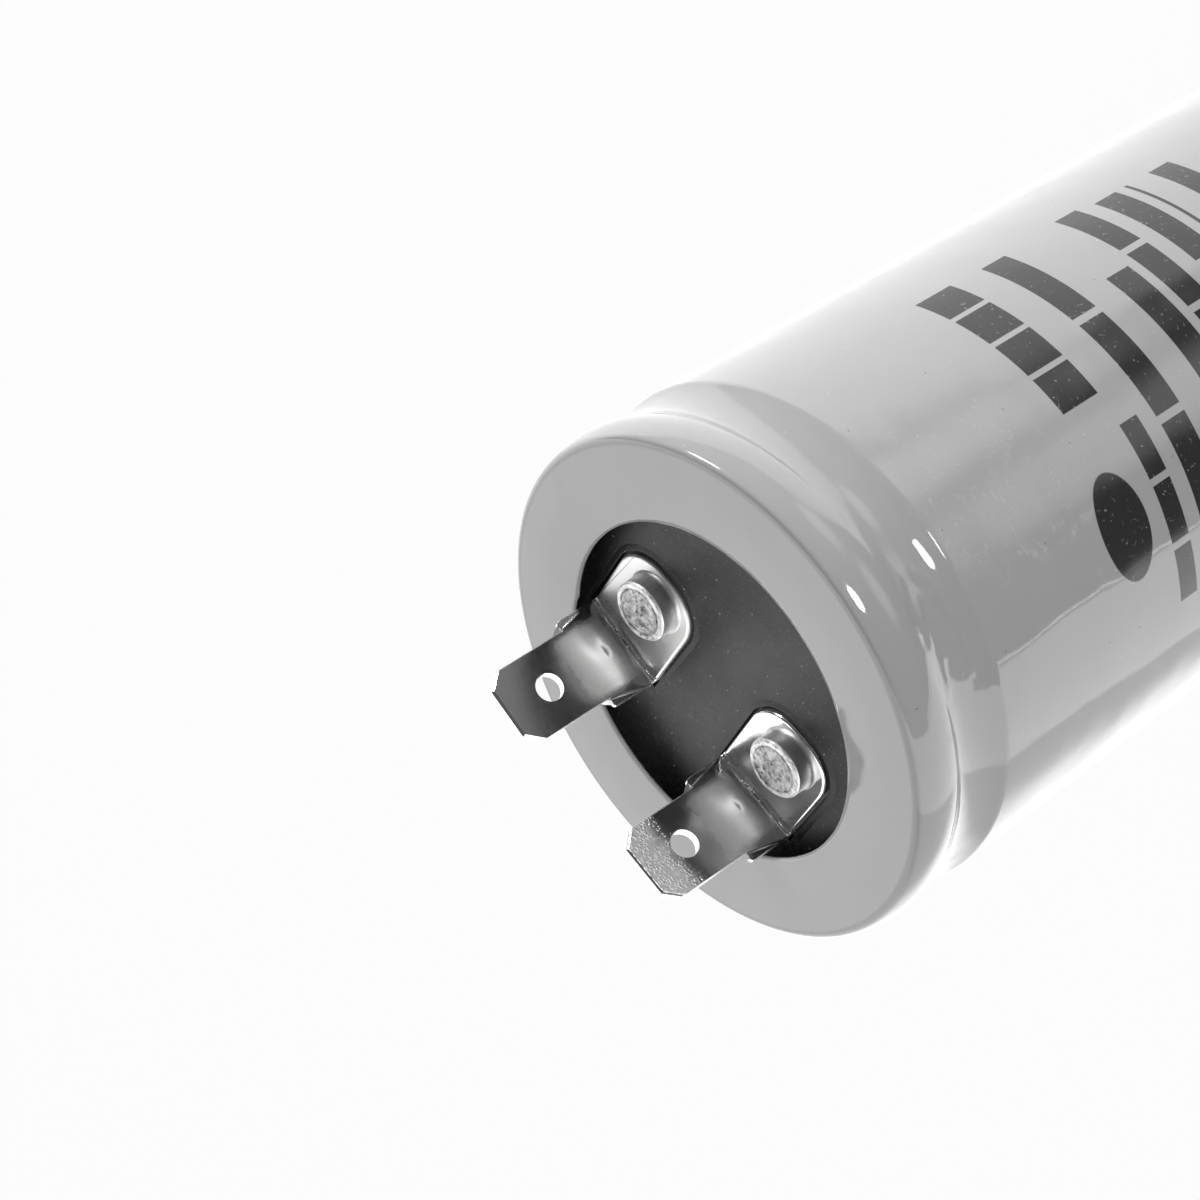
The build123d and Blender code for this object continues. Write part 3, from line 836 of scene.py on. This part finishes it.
def grow(source, group, name, values):
    """Runs a geometry node group on an object and keeps the plain mesh it makes."""
    modifier = source.modifiers.new("Grow", "NODES")
    modifier.node_group = group
    sockets = {item.name: item.identifier for item in group.interface.items_tree if item.in_out == "INPUT"}
    for label, value in values.items():
        modifier[sockets[label]] = value
    graph = bpy.context.evaluated_depsgraph_get()
    mesh = bpy.data.meshes.new_from_object(source.evaluated_get(graph), depsgraph=graph)
    source.modifiers.remove(modifier)
    bpy.data.objects.remove(source)
    mesh.name = name
    made = bpy.data.objects.new(name, mesh)
    bpy.context.scene.collection.objects.link(made)
    return made


def facing_out(piece):
    """Recalculates the normals so that every face points outwards."""
    bpy.context.view_layer.objects.active = piece
    piece.select_set(True)
    bpy.ops.object.mode_set(mode="EDIT")
    bpy.ops.mesh.select_all(action="SELECT")
    bpy.ops.mesh.normals_make_consistent(inside=False)
    bpy.ops.object.mode_set(mode="OBJECT")
    piece.select_set(False)


class CAPACITOR_OT_sleeve(bpy.types.Operator):
    """Make the shrunk film round the can"""
    bl_idname = "capacitor.sleeve"
    bl_label = "Shrunk sleeve"

    def execute(self, context):
        sizes = context.scene.capacitor_sleeve
        outer = film_profile(sizes, 0.0)
        inner = film_profile(sizes, SLEEVE_WALL)
        section = section_object("film_section", outer + inner[::-1])
        piece = grow(section, lathe_group(), "sleeve_film", {
            "Around": sizes.around, "Along": len(outer) + len(inner),
            "Bead Height": SLEEVE_HEIGHT - sizes.bead_height,
            "Pucker": sizes.pucker, "Edge Wave": sizes.edge_wave, "Mouth": sizes.mouth_radius,
            "Neck Angle": sizes.neck_angle, "Neck Push": sizes.neck_push,
            "Seed": 3.0, "Material": sleeve_finish(context.scene.capacitor_film)})
        facing_out(piece)
        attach(piece, "root")
        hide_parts("sleeve")
        return {"FINISHED"}


class CAPACITOR_OT_deck(bpy.types.Operator):
    """Finish the rubber face and the board under it"""
    bl_idname = "capacitor.deck"
    bl_label = "Deck"

    def execute(self, context):
        colours = context.scene.capacitor_deck
        dress(rubber_finish(colours), "rubber_facing")
        dress(laminate_finish(colours), "deck_board")
        return {"FINISHED"}


class CAPACITOR_OT_terminals(bpy.types.Operator):
    """Finish the two tinned terminals"""
    bl_idname = "capacitor.terminals"
    bl_label = "Terminals"

    def execute(self, context):
        colours = context.scene.capacitor_metal
        dress(tin_finish(colours, "a", 0.0), "terminal_a")
        dress(tin_finish(colours, "b", 1.0), "terminal_b")
        return {"FINISHED"}


class CAPACITOR_OT_rivets(bpy.types.Operator):
    """Finish the two deck rivets"""
    bl_idname = "capacitor.rivets"
    bl_label = "Rivets"

    def execute(self, context):
        for letter in "ab":
            dress(rivet_finish(context.scene.capacitor_metal, letter), "rivet_" + letter)
        return {"FINISHED"}


class CAPACITOR_OT_can(bpy.types.Operator):
    """Finish the can, the washers and the lead strips"""
    bl_idname = "capacitor.can"
    bl_label = "Can and leads"

    def execute(self, context):
        colour = context.scene.capacitor_metal.aluminium
        dress(drawn_finish("drawn_can", colour, (1.0, 1.0, 0.08), 3.0, 0.26), "can")
        dress(drawn_finish("stamped_washer", colour, (1.0, 1.0, 1.0), 2.2, 0.34), "washer_a", "washer_b")
        dress(drawn_finish("lead_strip", colour, (0.1, 1.0, 1.0), 4.0, 0.22), "lead_tab_a", "lead_tab_b")
        return {"FINISHED"}


class CAPACITOR_OT_roll(bpy.types.Operator):
    """Finish the wound roll and its paper"""
    bl_idname = "capacitor.roll"
    bl_label = "Roll and paper"

    def execute(self, context):
        colours = context.scene.capacitor_inside
        metal = context.scene.capacitor_metal.aluminium
        dress(roll_finish(metal, colours.paper), "winding")
        dress(paper_finish("closing_wrap", colours.wrap, 1.6), "winding_wrap")
        dress(paper_finish("pressed_paper", colours.paper, 2.4), "top_insulator", "base_insulator")
        return {"FINISHED"}


def floor_finish():
    """Pale floor that shows near white to the lens and keeps the shadow."""
    floor = Finish("pale_floor", Roughness=0.9)
    tone = floor.noise(0.004, 1.0, 3.0, 0.5)
    floor.wear(Base_Color=floor.shade((0.86, 0.86, 0.86), 0.99 + 0.02 * tone))
    glow = floor.node("ShaderNodeEmission", {}, {"Color": (1.0, 1.0, 1.0, 1.0), "Strength": 1.0})
    path = floor.node("ShaderNodeLightPath").socket.node
    seen = Flow(floor, path.outputs["Is Camera Ray"])
    blend = floor.node("ShaderNodeMixShader", {}, {"Fac": seen * FLOOR_GLOW})
    mixer = blend.socket.node
    floor.tree.links.new(floor.shader.outputs[0], mixer.inputs[1])
    floor.tree.links.new(glow.socket, mixer.inputs[2])
    output = next(n for n in floor.tree.nodes if n.bl_idname == "ShaderNodeOutputMaterial")
    floor.tree.links.new(blend.socket, output.inputs["Surface"])
    return floor.material


class Room(Tree):
    """Even light for matt surfaces, and a pale table, a line, a soft box and glows for glossy ones."""

    def __init__(self, ambient):
        world = bpy.data.worlds.new("Studio")
        bpy.context.scene.world = world
        world.use_nodes = True
        super().__init__(world.node_tree)
        way = self.node("ShaderNodeTexCoord", output="Generated")
        up = self.dot(way, ROOM_UP)
        side = self.dot(way, ROOM_SIDE)
        rise = self.dot(way, Vector((0.0, 0.0, 1.0)))
        lens_side = side.rise(0.1, 0.4)
        shadow = up.fall(*SHADOW_EDGE) * lens_side
        low_side = side.fall(-0.7, -0.4) * rise.fall(-0.2, 0.2)
        table = up.fall(*TABLE_EDGE) * (TABLE - TABLE_SHADOW * shadow - TABLE_SIDE * low_side)
        line = up.window(*LINE_EDGES, 0.002) * lens_side * rise.fall(-0.52, -0.42)
        box = (side + up * 0.05).fall(-0.05, 0.05)
        box = box * (side * 0.211 + rise * 0.717 + up * 0.664).fall(-0.05, 0.05)
        glossy = DIM_ROOM + line * LINE + box * BOX
        for direction, strength in GLOWS:
            glossy = glossy + self.dot(way, direction).rise(GLOW_EDGE, GLOW_FULL) * strength
        glossy = glossy.most(table)
        matt = ambient * (1.0 - LESS_FROM_ABOVE * rise.most(0.0))
        path = self.node("ShaderNodeLightPath").socket.node
        is_glossy = Flow(self, path.outputs["Is Glossy Ray"])
        is_camera = Flow(self, path.outputs["Is Camera Ray"])
        level = matt + is_glossy * (glossy - matt)
        level = level + is_camera * (1.0 - level)
        shade = self.node("ShaderNodeBackground", {}, {"Color": (1.0, 1.0, 1.0, 1.0), "Strength": level})
        output = self.tree.nodes.new("ShaderNodeOutputWorld")
        self.tree.links.new(shade.socket, output.inputs["Surface"])


def lamp(name, direction, distance, size, power):
    """Round area lamp that looks at the mouth from a direction."""
    data = bpy.data.lights.new(name, "AREA")
    data.shape = "DISK"
    data.size = size
    data.energy = power
    made = bpy.data.objects.new(name, data)
    way = Vector(direction).normalized()
    made.location = LIT_POINT + way * distance
    made.rotation_mode = "QUATERNION"
    made.rotation_quaternion = (-way).to_track_quat("-Z", "Y")
    made.visible_camera = False
    bpy.context.scene.collection.objects.link(made)
    return made


class CAPACITOR_OT_studio(bpy.types.Operator):
    """Set up the pale floor, the soft light and the camera"""
    bl_idname = "capacitor.studio"
    bl_label = "Studio and camera"

    def execute(self, context):
        sizes = context.scene.capacitor_studio
        turns = [math.radians(turn) for turn in range(0, 360, FLOOR_TURN)]
        rim = [(sizes.floor * math.cos(turn), sizes.floor * math.sin(turn), 0.0) for turn in turns]
        mesh = bpy.data.meshes.new("floor")
        mesh.from_pydata(rim, [], [tuple(range(len(rim)))])
        mesh.materials.append(floor_finish())
        floor = bpy.data.objects.new("floor", mesh)
        context.scene.collection.objects.link(floor)
        floor.visible_glossy = False
        Room(sizes.ambient)
        for name, direction, distance, size, power, hidden_from in LAMPS:
            setattr(lamp(name, direction, distance, size, power), hidden_from, False)
        view = bpy.data.cameras.new("Camera")
        view.lens = sizes.lens
        view.sensor_width = 36.0
        view.clip_start = 0.01
        view.clip_end = 10.0
        camera = bpy.data.objects.new("Camera", view)
        turn = Matrix(CAMERA_AXES).transposed().to_4x4()
        camera.matrix_world = Matrix.Translation(CAMERA_PLACE) @ turn
        context.scene.collection.objects.link(camera)
        context.scene.camera = camera
        context.scene.view_settings.view_transform = "Standard"
        return {"FINISHED"}


class CAPACITOR_PT_panel(bpy.types.Panel):
    """Sizes, colours and steps of the capacitor"""
    bl_idname = "CAPACITOR_PT_panel"
    bl_label = "Motor start capacitor"
    bl_space_type = "VIEW_3D"
    bl_region_type = "UI"
    bl_category = "Capacitor"

    def draw(self, context):
        for step in STEPS:
            self.layout.operator(step.bl_idname)
        for name in GROUPS:
            group = getattr(context.scene, name)
            box = self.layout.box()
            for item in group.bl_rna.properties:
                if not item.is_readonly and item.identifier != "name":
                    box.prop(group, item.identifier)


GROUPS = {
    "capacitor_sleeve": SleeveSizes,
    "capacitor_film": SleeveColours,
    "capacitor_deck": DeckColours,
    "capacitor_metal": MetalColours,
    "capacitor_inside": InsideColours,
    "capacitor_studio": StudioSizes,
}
STEPS = (
    CAPACITOR_OT_sleeve, CAPACITOR_OT_deck, CAPACITOR_OT_terminals, CAPACITOR_OT_rivets,
    CAPACITOR_OT_can, CAPACITOR_OT_roll, CAPACITOR_OT_studio,
)


def register():
    for group in GROUPS.values():
        bpy.utils.register_class(group)
    for step in STEPS:
        bpy.utils.register_class(step)
    bpy.utils.register_class(CAPACITOR_PT_panel)
    for name, group in GROUPS.items():
        setattr(bpy.types.Scene, name, bpy.props.PointerProperty(type=group))


def unregister():
    for name in GROUPS:
        delattr(bpy.types.Scene, name)
    bpy.utils.unregister_class(CAPACITOR_PT_panel)
    for step in reversed(STEPS):
        bpy.utils.unregister_class(step)
    for group in reversed(list(GROUPS.values())):
        bpy.utils.unregister_class(group)


def main():
    register()
    for step in STEPS:
        group, name = step.bl_idname.split(".")
        getattr(getattr(bpy.ops, group), name)()


if __name__ == "__main__":
    main()
